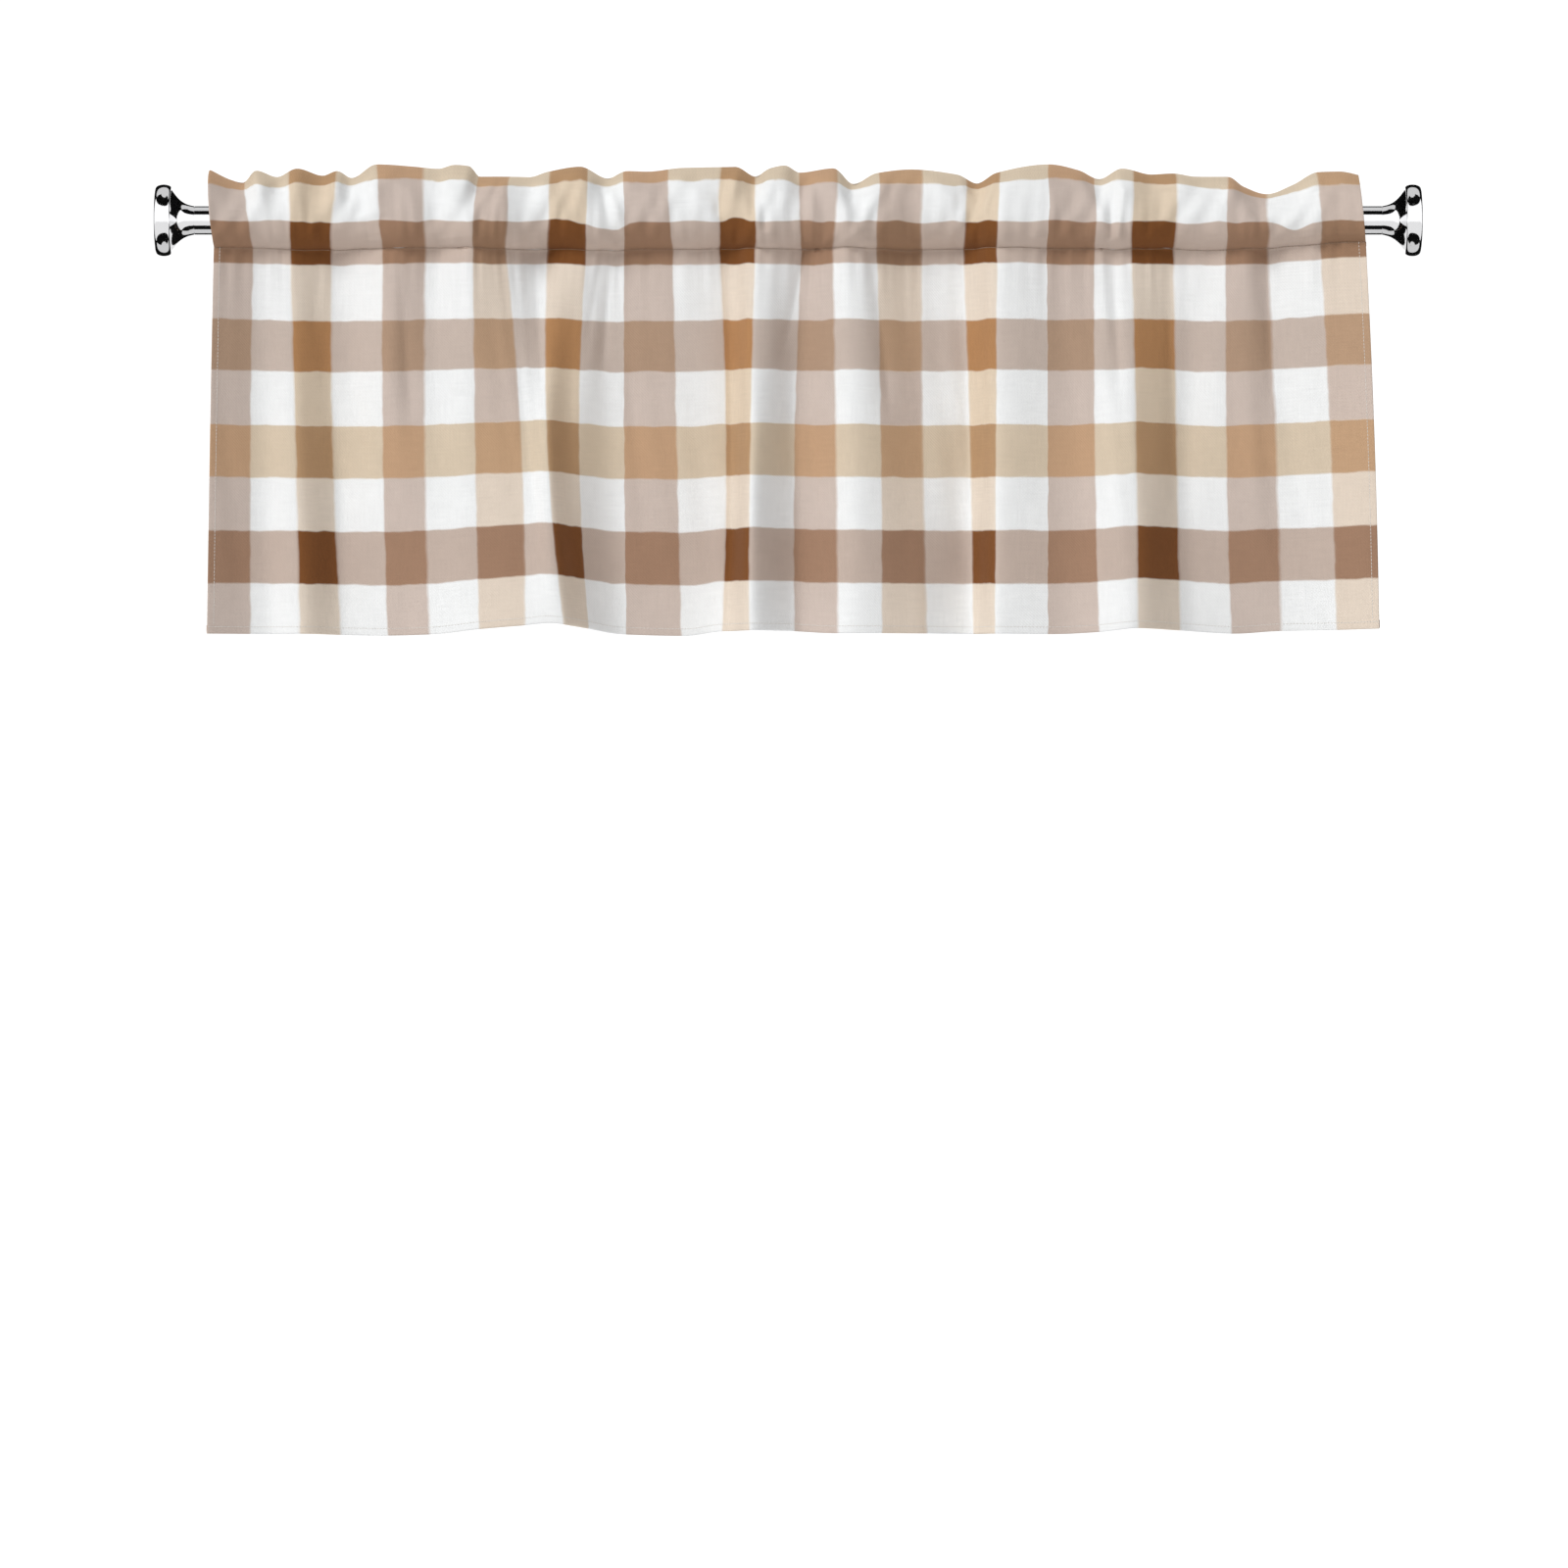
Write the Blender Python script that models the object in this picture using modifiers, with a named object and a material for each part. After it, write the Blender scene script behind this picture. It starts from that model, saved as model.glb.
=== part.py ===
"""Window valance on its rod: a gathered cloth panel with a sewn rod pocket, a steel tube and two finials.

Metres, +Z up. The origin is on the rod's axis at the middle of its length. +X runs along the rod to the
right as the room sees it, and -Y faces the room.
"""

import math

import bpy
import numpy as np

MM = 0.001

# Rod: a steel tube between the two finials
ROD_RADIUS = 14.0 * MM
ROD_WALL = 1.0 * MM
ROD_SIDES = 32
ROD_END_TO_END = 1242.8 * MM
FIT_GAP = 0.3 * MM

# Finial: a disc with a domed face and a rounded rim, and a trumpet neck that meets the tube
FINIAL_SIDES = 36
FACE_FLAT_RADIUS = 6.0 * MM
FACE_RADIUS = 31.6 * MM
FACE_DOME = 2.1 * MM
RIM_CROWN = 3.6 * MM
RIM_WIDTH = 15.7 * MM
NECK_LENGTH = 22.1 * MM
NECK_FLARE = 0.75
SPIGOT_RADIUS = ROD_RADIUS - ROD_WALL - FIT_GAP
SPIGOT_LENGTH = 25.0 * MM
FINIAL_LENGTH = FACE_DOME + RIM_WIDTH + NECK_LENGTH
FACE_POINTS = 3
RIM_POINTS = 8
NECK_POINTS = 6
MERGE_DISTANCE = 0.1 * MM

# Cloth
CLOTH_THICKNESS = 1.6 * MM
SEAM_HEIGHT = -27.0 * MM
SEAM_LIFT_RIGHT = 6.0 * MM
SEAM_LIFT_LENGTH = 120.0 * MM
HEM_HEIGHT = -405.0 * MM
FLAT_WIDTH = 1425.0 * MM
COLUMN_STEP = 14.0 * MM
SKIRT_STEPS = 8
POCKET_STEPS = 7

# Pocket: how closely its two walls hug the rod, with allowances for their slant there, how they give
# where a fold swings away from it, how far the top ridge follows the folds, and how much the pocket
# narrows upwards
HUG_SLANT = 1.4 * MM
CLEARANCE_SLANT = 1.0 * MM
TOUCH_RADIUS = ROD_RADIUS + FIT_GAP + CLOTH_THICKNESS / 2
HUG_RADIUS = TOUCH_RADIUS + HUG_SLANT
HUG_GIVE = 0.6
HUG_REACH = 10.0 * MM
HUG_SOFTNESS = 4.0 * MM
CLEARANCE_SOFTNESS = 0.7 * MM
RIDGE_FOLLOWS = 0.35
POCKET_TAPER = 0.35

# The cloth is printed in columns of an even check, which show where it lies. The first column starts this
# far left of the cloth's own edge. COLUMN_EDGES has places along the rod, in millimetres, from the cloth's
# left edge over the edges between columns to its right edge, at three drops, 0 at the seam to 1 at the hem.
CHECK_START = -9.55 * MM
CHECK_WIDTH = 53.5 * MM
SKIRT_DROPS = (0.0, 0.54, 1.0)
COLUMN_EDGES = (
    (-561, -565, -568),
    (-524, -527, -527),
    (-488, -482, -478),
    (-448, -447, -439),
    (-397, -397, -393),
    (-355, -356, -351),
    (-308, -306, -302),
    (-277, -261, -257),
    (-236, -235, -219),
    (-198, -205, -196),
    (-161, -161, -159),
    (-113, -109, -105),
    (-68, -61, -65),
    (-32, -37, -38),
    (13, 6, 6),
    (44, 47, 49),
    (87, 91, 92),
    (131, 132, 136),
    (172, 179, 182),
    (204, 203, 202),
    (253, 254, 254),
    (300, 300, 304),
    (336, 340, 341),
    (378, 381, 384),
    (429, 430, 435),
    (470, 479, 484),
    (521, 532, 538),
    (564, 573, 578),
)

# A row for each fold line of the cloth, in millimetres. flat: distance along the flat cloth from its left
# edge. out: how far the cloth stands towards the room at the three drops. top: height of the pocket's ridge
# above the rod's axis. lift: how far the hem is above its lowest level.
FOLD_COLUMNS = ("flat", "out_seam", "out_mid", "out_hem", "top", "lift")
FOLDS = {
    "left edge": (0, 15, 15, 10, 48, 2),
    "trough 1": (60, 0, -5, -10, 45, 2),
    "crest 1": (100, 0, 5, 5, 49, 1),
    "trough 2": (160, -15, -20, -20, 45, 1),
    "shoulder 2": (225, 10, 0, -10, 53, 0),
    "hollow 2": (265, 0, 0, 5, 52, 1),
    "crest 2": (310, 15, 10, 20, 53, 6),
    "rise 3": (365, 5, 10, 30, 42, 10),
    "crest 3": (415, -15, 20, 35, 45, 11),
    "fall 3": (465, -5, -5, 0, 52, 8),
    "trough 3": (525, -15, -25, -30, 45, 2),
    "trough 4": (590, -10, -20, -30, 51, 0),
    "rise 4": (640, -15, -20, -20, 50, 4),
    "crest 4": (690, 10, 25, 25, 43, 5),
    "trough 5": (745, -5, -10, -10, 48, 4),
    "crest 5": (815, 15, 15, 15, 36, 2),
    "fall 5": (885, -10, -5, 0, 49, 2),
    "trough 6": (945, -15, -20, -25, 45, 2),
    "crest 6": (1015, 20, 20, 20, 48, 1),
    "hollow 6": (1075, 5, 10, 10, 52, 2),
    "crest 7": (1160, 0, 25, 35, 50, 6),
    "trough 8": (1240, -10, -15, -10, 43, 3),
    "shoulder 8": (1300, 0, -10, -20, 33, 3),
    "trough 9": (1330, -10, -15, -20, 26, 5),
    "rise 9": (1370, 0, -5, -15, 42, 5),
    "right edge": (1425, 15, 15, 5, 42, 6),
}


def clear_scene():
    for old in list(bpy.data.objects):
        bpy.data.objects.remove(old)


def make_collection(name):
    collection = bpy.data.collections.new(name)
    bpy.context.scene.collection.children.link(collection)
    return collection


def make_material(name, colour, roughness, metallic):
    material = bpy.data.materials.new(name)
    material.use_nodes = True
    shader = material.node_tree.nodes["Principled BSDF"]
    shader.inputs["Base Color"].default_value = (*colour, 1.0)
    shader.inputs["Roughness"].default_value = roughness
    shader.inputs["Metallic"].default_value = metallic
    return material


def make_object(name, mesh, collection, material):
    made = bpy.data.objects.new(name, mesh)
    made.data.materials.append(material)
    collection.objects.link(made)
    return made


def fold_column(name):
    """One column of the fold table, in metres."""
    index = FOLD_COLUMNS.index(name)
    return np.array([row[index] for row in FOLDS.values()], float) * MM


def between_rows(at, values, query):
    """A cubic through a table's rows whose turning points stay on the rows.

    The slope at a row is the harmonic mean of the slopes on either side of it, or level where they differ
    in sign.
    """
    step = np.diff(at)
    rise = np.diff(values) / step
    same_way = rise[:-1] * rise[1:] > 0
    total = np.where(same_way, rise[:-1] + rise[1:], 1.0)
    inner = np.where(same_way, 2 * rise[:-1] * rise[1:] / total, 0.0)
    slope = np.concatenate([rise[:1], inner, rise[-1:]])
    left = np.clip(np.searchsorted(at, query, side="right") - 1, 0, len(step) - 1)
    share = (query - at[left]) / step[left]
    rest = 1 - share
    return (
        values[left] * rest**2 * (1 + 2 * share)
        + values[left + 1] * share**2 * (1 + 2 * rest)
        + slope[left] * step[left] * share * rest**2
        - slope[left + 1] * step[left] * rest * share**2
    )


def along_cloth(name, flat):
    """A column of the fold table, read between its rows."""
    return between_rows(fold_column("flat"), fold_column(name), flat)


def down_skirt(levels, values, drop):
    """The polynomial in the drop, 0 at the seam to 1 at the hem, through these values at these levels."""
    total = 0.0
    for level, value in zip(levels, values):
        others = [other for other in levels if other != level]
        total = total + value * math.prod((drop - other) / (level - other) for other in others)
    return total


def place_at(flat, drop):
    """Place along the rod: each column of the check keeps its edges, and is spread evenly between them."""
    inner = CHECK_START + CHECK_WIDTH * np.arange(1, len(COLUMN_EDGES) - 1)
    at = np.concatenate([[0.0], inner, [FLAT_WIDTH]])
    edges = np.array(COLUMN_EDGES, float).T * MM
    return down_skirt(SKIRT_DROPS, [between_rows(at, row, flat) for row in edges], drop)


def fold_at(flat, drop):
    """How far the folds bring the cloth towards the room."""
    names = ("out_seam", "out_mid", "out_hem")
    return down_skirt(SKIRT_DROPS, [along_cloth(name, flat) for name in names], drop)


def seam_height(flat):
    """The pocket seam is level, but climbs a little over its last stretch on the right."""
    share = np.clip((flat - FLAT_WIDTH + SEAM_LIFT_LENGTH) / SEAM_LIFT_LENGTH, 0, 1)
    return SEAM_HEIGHT + SEAM_LIFT_RIGHT * share * share * (3 - 2 * share)


def skirt_row(flat, drop):
    """Middle of the cloth at one level of the skirt, a point for each column."""
    top = seam_height(flat)
    bottom = HEM_HEIGHT + along_cloth("lift", flat)
    height = top + (bottom - top) * drop
    return np.column_stack([place_at(flat, drop), -fold_at(flat, drop), height])


def give(swing):
    """How far a pocket wall stands off the rod, for a fold that swings away from it.

    It is nothing where the fold swings against the rod, and a share of the swing where it swings away,
    with a soft change between the two.
    """
    return HUG_GIVE * HUG_SOFTNESS * np.log1p(np.exp((swing + HUG_REACH) / HUG_SOFTNESS))


def clear_of_rod(stand_off, level):
    """Keeps a wall off the rod: a soft maximum of its distance and of a curve that just clears the tube.

    The curve is the radius times 1 - t^2 / 2 - t^4 / 8, where t is the height over the radius.
    """
    radius = TOUCH_RADIUS + CLEARANCE_SLANT
    share = level / radius
    clearance = radius * (1 - share**2 / 2 - share**4 / 8)
    return clearance + CLEARANCE_SOFTNESS * np.logaddexp(0, (stand_off - clearance) / CLEARANCE_SOFTNESS)


def pocket_row(flat, turn, side):
    """Middle of the cloth in one pocket wall: side 1 is the room's, side -1 the window's.

    turn goes from 0 at the seam to pi at the ridge. The section is a half ellipse drawn in towards the
    ridge, and as wide as the wall's place at the height of the rod's axis asks, clear of the rod.
    """
    seam, ridge = seam_height(flat), along_cloth("top", flat)
    swing = fold_at(flat, 0.0)

    def lean(rise):
        return swing * (1 - rise + RIDGE_FOLLOWS * rise)

    def bulge(angle, rise):
        return np.sin(angle) * (1 - POCKET_TAPER * rise)

    axis_rise = -seam / (ridge - seam)
    axis_turn = np.arccos(1 - 2 * axis_rise)
    stand_off = HUG_RADIUS + give(side * swing)
    width = (stand_off - side * lean(axis_rise)) / bulge(axis_turn, axis_rise)
    rise = (1 - math.cos(turn)) / 2
    level = seam + (ridge - seam) * rise
    out = lean(rise) + side * width * bulge(turn, rise)
    out = side * clear_of_rod(side * out, level)
    return np.column_stack([place_at(flat, 0.0), -out, level])


def cloth_columns():
    """Places along the flat cloth: every fold line, with even steps between them."""
    rows = fold_column("flat")
    stretches = [
        np.linspace(start, end, max(2, round((end - start) / COLUMN_STEP)), endpoint=False)
        for start, end in zip(rows[:-1], rows[1:])
    ]
    return np.concatenate([*stretches, rows[-1:]])


def make_valance(collection, material):
    """The cloth as one sheet in the shape of a P, seen from its end, thickened evenly about its middle.

    Rows of points run from the hem up to the seam, up the room's wall of the pocket to the ridge, and down
    the window's wall, whose last faces close on the seam's row.
    """
    flat = cloth_columns()
    rows = [skirt_row(flat, drop) for drop in np.linspace(1, 0, SKIRT_STEPS + 1)]
    seam_row = len(rows) - 1
    turns = np.linspace(0, math.pi, POCKET_STEPS + 1)
    rows += [pocket_row(flat, turn, 1) for turn in turns[1:]]
    rows += [pocket_row(flat, turn, -1) for turn in turns[-2:0:-1]]
    order = [*range(len(rows)), seam_row]
    count = len(flat)
    faces = [
        (a * count + j, a * count + j + 1, b * count + j + 1, b * count + j)
        for a, b in zip(order[:-1], order[1:])
        for j in range(count - 1)
    ]
    mesh = bpy.data.meshes.new("valance")
    mesh.from_pydata(np.concatenate(rows).tolist(), [], faces)
    mesh.shade_smooth()
    valance = make_object("valance", mesh, collection, material)
    thick = valance.modifiers.new("cloth thickness", "SOLIDIFY")
    thick.solidify_mode = "NON_MANIFOLD"
    thick.nonmanifold_thickness_mode = "EVEN"
    thick.thickness = CLOTH_THICKNESS
    thick.offset = 0.0
    return valance


def make_turned(name, profile, closed, sides, collection, material):
    """A profile of (radius, height) points, outer side from top to bottom, turned about the local Z axis."""
    mesh = bpy.data.meshes.new(name)
    count = len(profile)
    edges = [(i, i + 1) for i in range(count - 1)]
    if closed:
        edges.append((count - 1, 0))
    mesh.from_pydata([(radius, 0.0, height) for radius, height in profile], edges, [])
    turned = make_object(name, mesh, collection, material)
    screw = turned.modifiers.new("turned", "SCREW")
    screw.axis = "Z"
    screw.steps = sides
    screw.render_steps = sides
    screw.use_merge_vertices = True
    screw.merge_threshold = MERGE_DISTANCE
    screw.use_smooth_shade = True
    return turned


def make_rod(collection, material):
    half = ROD_END_TO_END / 2 - FINIAL_LENGTH - FIT_GAP
    inner = ROD_RADIUS - ROD_WALL
    profile = [(ROD_RADIUS, half), (ROD_RADIUS, -half), (inner, -half), (inner, half)]
    rod = make_turned("rod_tube", profile, True, ROD_SIDES, collection, material)
    rod.rotation_euler = (0, math.pi / 2, 0)
    return rod


def finial_profile():
    """Face, rim, neck and spigot from the outer end to the inner one, the outer end at height 0."""
    points = [(0.0, 0.0), (FACE_FLAT_RADIUS, 0.0)]
    for share in np.linspace(0, 1, FACE_POINTS + 1)[1:]:
        radius = FACE_FLAT_RADIUS + (FACE_RADIUS - FACE_FLAT_RADIUS) * share
        points.append((radius, -FACE_DOME * share**2))
    for angle in np.linspace(0, math.pi, RIM_POINTS + 1)[1:]:
        along = FACE_DOME + RIM_WIDTH * (1 - math.cos(angle)) / 2
        points.append((FACE_RADIUS + RIM_CROWN * math.sin(angle), -along))
    neck_start = FACE_DOME + RIM_WIDTH
    for share in np.linspace(0, 1, NECK_POINTS + 1)[1:]:
        rest = 1 - share
        flare = NECK_FLARE * rest**3 + (1 - NECK_FLARE) * rest
        radius = ROD_RADIUS + (FACE_RADIUS - ROD_RADIUS) * flare
        points.append((radius, -neck_start - NECK_LENGTH * share))
    spigot_end = -FINIAL_LENGTH - SPIGOT_LENGTH
    points.append((SPIGOT_RADIUS, -FINIAL_LENGTH))
    points.append((SPIGOT_RADIUS, spigot_end))
    points.append((0.0, spigot_end))
    return points


def make_finial(name, side, collection, material):
    """side is -1 at the left end of the rod and 1 at the right end."""
    finial = make_turned(name, finial_profile(), False, FINIAL_SIDES, collection, material)
    finial.rotation_euler = (0, side * math.pi / 2, 0)
    finial.location = (side * ROD_END_TO_END / 2, 0, 0)
    return finial


def main():
    clear_scene()
    collection = make_collection("window_valance")
    chrome = make_material("polished_chrome", (0.80, 0.80, 0.81), 0.08, 1.0)
    cloth = make_material("checked_cloth", (0.66, 0.52, 0.42), 0.85, 0.0)
    make_rod(collection, chrome)
    make_finial("finial_left", -1, collection, chrome)
    make_finial("finial_right", 1, collection, chrome)
    make_valance(collection, cloth)


main()
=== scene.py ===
"""Looks of the window valance: the checked cloth with its hems and stitching, and the chromed rod.

Metres, +Z up, on the same frame as the solids. The origin is on the rod's axis at the middle of its length,
+X runs along the rod to the right as the room sees it, and -Y faces the room.
"""

import math

import bmesh
import bpy
import numpy as np
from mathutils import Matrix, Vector


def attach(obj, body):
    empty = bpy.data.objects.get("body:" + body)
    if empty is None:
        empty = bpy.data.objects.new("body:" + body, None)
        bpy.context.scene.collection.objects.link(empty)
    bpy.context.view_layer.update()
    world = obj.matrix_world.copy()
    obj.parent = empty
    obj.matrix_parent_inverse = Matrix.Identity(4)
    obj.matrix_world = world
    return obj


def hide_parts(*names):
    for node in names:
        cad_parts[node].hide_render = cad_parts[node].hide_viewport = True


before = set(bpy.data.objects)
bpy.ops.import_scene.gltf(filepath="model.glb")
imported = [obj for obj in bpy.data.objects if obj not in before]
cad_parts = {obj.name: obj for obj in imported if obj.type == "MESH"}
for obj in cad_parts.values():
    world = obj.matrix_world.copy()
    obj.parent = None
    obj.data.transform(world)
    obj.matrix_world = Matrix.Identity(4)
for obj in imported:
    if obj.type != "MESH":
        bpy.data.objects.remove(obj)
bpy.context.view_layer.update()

MM = 0.001

# Sizes
ROD_RADIUS = 14.0 * MM
ROD_WALL = 1.0 * MM
ROD_END_TO_END = 1242.8 * MM
FIT_GAP = 0.3 * MM
FACE_FLAT_RADIUS = 6.0 * MM
FACE_RADIUS = 31.6 * MM
FACE_DOME = 2.1 * MM
RIM_CROWN = 3.6 * MM
RIM_WIDTH = 15.7 * MM
NECK_LENGTH = 22.1 * MM
NECK_FLARE = 0.75
SPIGOT_RADIUS = ROD_RADIUS - ROD_WALL - FIT_GAP
SPIGOT_LENGTH = 25.0 * MM
FINIAL_LENGTH = FACE_DOME + RIM_WIDTH + NECK_LENGTH
TURNED_SIDES = 128

CLOTH_THICKNESS = 0.5 * MM
SEAM_HEIGHT = -27.0 * MM
SEAM_LIFT_RIGHT = 6.0 * MM
SEAM_LIFT_LENGTH = 120.0 * MM
HEM_LEVEL = -405.0 * MM
SKIRT_LENGTH = SEAM_HEIGHT - HEM_LEVEL
HUG_RADIUS = 17.7 * MM
HUG_GIVE = 0.6
HUG_REACH = 10.0 * MM
HUG_SOFTNESS = 4.0 * MM
RIDGE_FOLLOWS = 0.35
RIDGE_PINCH = 1.5
SEAM_PINCH = 1.45
RIDGE_DENTS = 1.0
ROD_CLEARANCE = 1.0 * MM
CLEARANCE_SOFTNESS = 0.7 * MM
TENSION_WRINKLE = 0.55 * MM
SEAM_GAP = 1.4 * MM
TAIL_LENGTH = 5.0 * MM
HEM_DEPTH = 7.0 * MM
HEM_ROLL = 1.25 * MM
SIDE_ROLL = 0.4 * MM
HEM_STITCH = 5.6 * MM
SIDE_STITCH = 6.0 * MM

# Check: width of one column, where the first column starts, and the rows' edges by drop on the skirt
CHECK_WIDTH = 53.5 * MM
CHECK_START = -9.55 * MM
ROW_DEPTH = 52.3 * MM
SKIRT_ROWS = (
    (0.0, 2.694),
    (0.042, 3.0),
    (0.188, 4.0),
    (0.319, 5.0),
    (0.460, 6.0),
    (0.597, 7.0),
    (0.735, 8.0),
    (0.873, 9.0),
    (1.0, 9.92),
)
RIDGE_ROW = 0.80
STRIP_DEPTH = 13.6 * MM
STRIP_THINNER_RIGHT = 2.4 * MM
STRIP_FOLLOWS = 0.45
STRIP_LEAST = 5.0 * MM
STRIP_CREASE = 2.2 * MM
STRIP_CREASE_BELOW = 4.0 * MM
STRIP_CREASE_WIDTH = 2.0 * MM
BACK_SEAM_ROW = -1.07

# Where the edges of the check's columns show along the rod, from the cloth's left edge to its right one, in
# millimetres, at three drops down the skirt
SKIRT_DROPS = (0.0, 0.54, 1.0)
COLUMN_EDGES = (
    (-561, -565, -568),
    (-524, -527, -527),
    (-488, -482, -478),
    (-448, -447, -439),
    (-397, -397, -393),
    (-355, -356, -351),
    (-308, -306, -302),
    (-277, -261, -257),
    (-236, -235, -219),
    (-198, -205, -196),
    (-161, -161, -159),
    (-113, -109, -105),
    (-68, -61, -65),
    (-32, -37, -38),
    (13, 6, 6),
    (44, 47, 49),
    (87, 91, 92),
    (131, 132, 136),
    (172, 179, 182),
    (204, 203, 202),
    (253, 254, 254),
    (300, 300, 304),
    (336, 340, 341),
    (378, 381, 384),
    (429, 430, 435),
    (470, 479, 484),
    (521, 532, 538),
    (564, 573, 578),
)

# Fold lines from left to right: distance along the flat cloth, and how far the cloth stands towards the room at
# the same three drops, in millimetres
FOLDS = (
    (0, 15, 15, 10),
    (60, 0, -5, -10),
    (100, 0, 5, 5),
    (160, -15, -20, -20),
    (225, 10, 0, -10),
    (265, 0, 0, 5),
    (310, 15, 10, 20),
    (365, 5, 10, 30),
    (415, -15, 20, 35),
    (465, -5, -5, 0),
    (525, -15, -25, -30),
    (590, -10, -20, -30),
    (640, -15, -20, -20),
    (690, 10, 25, 25),
    (745, -5, -10, -10),
    (815, 15, 15, 15),
    (885, -10, -5, 0),
    (945, -15, -20, -25),
    (1015, 20, 20, 20),
    (1075, 5, 10, 10),
    (1160, 0, 25, 35),
    (1240, -10, -15, -10),
    (1300, 0, -10, -20),
    (1330, -10, -15, -20),
    (1370, 0, -5, -15),
    (1425, 15, 15, 5),
)

# Sharp creases: place along the flat cloth at the seam and at the hem, drops where it starts and ends, width,
# and depth, negative where it is pressed in. Places, widths and depths are in millimetres.
CREASES = (
    (127, 132, 0.0, 0.30, 5, -1.6),
    (141, 140, 0.0, 0.24, 5, 1.4),
    (205, 228, 0.05, 0.42, 7, 1.5),
    (224, 262, 0.0, 0.50, 10, -3.5),
    (300, 352, 0.0, 0.36, 7, 2.0),
    (402, 430, 0.0, 0.45, 12, -4.0),
    (494, 440, 0.0, 0.30, 5, -2.0),
    (508, 485, 0.0, 0.36, 7, -3.5),
    (520, 552, 0.35, 0.80, 8, -1.8),
    (664, 662, 0.0, 0.55, 5, -2.0),
    (679, 676, 0.05, 0.48, 5, 1.8),
    (744, 664, 0.0, 0.33, 5, -2.6),
    (765, 790, 0.0, 0.22, 6, 1.6),
    (838, 884, 0.02, 0.46, 9, -4.0),
    (985, 981, 0.16, 0.72, 5, -1.8),
    (999, 994, 0.10, 0.80, 5, 1.8),
    (1125, 1150, 0.0, 0.30, 5, 2.2),
    (1139, 1162, 0.0, 0.42, 8, -3.5),
    (1213, 1219, 0.0, 0.75, 8, -3.0),
    (1326, 1322, 0.0, 0.46, 6, -2.4),
    (1372, 1340, 0.02, 0.20, 6, 1.5),
)

# Sharp creases of the pocket's room side: place along the flat cloth at the seam and at the ridge, shares of the
# rise where it starts and ends, width, and depth
POCKET_CREASES = (
    (196, 180, 0.45, 0.85, 7, -3.5),
    (212, 197, 0.40, 0.85, 7, 4.0),
    (208, 150, 0.02, 0.40, 6, -2.2),
    (515, 488, 0.15, 0.90, 6, -3.8),
    (528, 504, 0.15, 0.85, 6, 5.0),
    (625, 640, 0.40, 0.92, 6, -2.8),
    (640, 656, 0.35, 0.92, 7, 3.5),
    (700, 690, 0.25, 0.75, 6, -2.0),
    (742, 746, 0.02, 0.85, 5, -3.0),
    (755, 760, 0.05, 0.85, 6, 3.5),
    (1132, 1140, 0.15, 0.80, 6, -3.6),
    (1148, 1157, 0.12, 0.80, 6, 4.5),
    (1210, 1232, 0.02, 0.35, 7, -2.6),
    (1322, 1300, 0.05, 0.70, 8, -3.0),
)

# How far the cloth leans to the right between the seam and the pocket's ridge, by distance along the flat
# cloth, in millimetres
POCKET_LEAN = (
    (0, -5),
    (44, -8),
    (97, -1),
    (151, 6),
    (204, -6),
    (258, -2),
    (311, 5),
    (418, 3),
    (525, -1),
    (578, -5),
    (632, 2),
    (739, -2),
    (792, 4),
    (900, 0),
    (1006, 4),
    (1113, 0),
    (1167, 2),
    (1274, 1),
    (1425, -6),
)
FLAT_WIDTH = 1425.0 * MM

# Height of the pocket's ridge above the rod's axis, by place along the rod, in millimetres
RIDGE = (
    (-565, 48.5),
    (-547, 40),
    (-534, 37),
    (-521, 48.5),
    (-501, 42.5),
    (-481, 50.5),
    (-456, 44),
    (-442, 48.5),
    (-428, 42),
    (-403, 54.5),
    (-368, 52.5),
    (-342, 50.5),
    (-327, 54),
    (-312, 52.5),
    (-302, 42.5),
    (-254, 42.5),
    (-235, 48),
    (-204, 52.5),
    (-177, 41.5),
    (-158, 48.5),
    (-138, 48),
    (-104, 51.5),
    (-52, 52.5),
    (-32, 43),
    (-18, 50.5),
    (-3, 53.5),
    (11, 47),
    (44, 50.5),
    (64, 35.5),
    (87, 46),
    (121, 50),
    (166, 45),
    (185, 36.5),
    (204, 46),
    (256, 54.5),
    (284, 49),
    (305, 40.5),
    (327, 50.5),
    (356, 45),
    (377, 46),
    (399, 43),
    (431, 42.5),
    (446, 33),
    (469, 26),
    (495, 35),
    (519, 47),
    (539, 47.5),
    (566, 42),
)
# Height of the check's edge near the rod's axis on the pocket, by place along the rod, in millimetres
POCKET_EDGE = (
    (-560, -2),
    (-240, -2),
    (-220, 1),
    (-200, -3),
    (-170, -10),
    (-155, -4),
    (-130, -2),
    (-65, -2),
    (-50, 1),
    (-35, -2),
    (475, -3),
    (493, -10),
    (510, -3),
    (560, -2),
)
# How far the hem hangs above its lowest level, by place along the rod, in millimetres
HEM_LIFT = (
    (-568, 1.5),
    (-480, 1.5),
    (-394, 0),
    (-349, 1),
    (-301, 6),
    (-257, 9.5),
    (-234, 11.5),
    (-206, 8.5),
    (-162, 1.5),
    (-101, 0),
    (-63, 4.5),
    (-3, 4.5),
    (48, 2),
    (137, 2),
    (255, 1),
    (304, 3),
    (342, 6.5),
    (382, 5),
    (439, 2),
    (481, 4.5),
    (539, 5.5),
    (578, 6.5),
)

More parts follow.
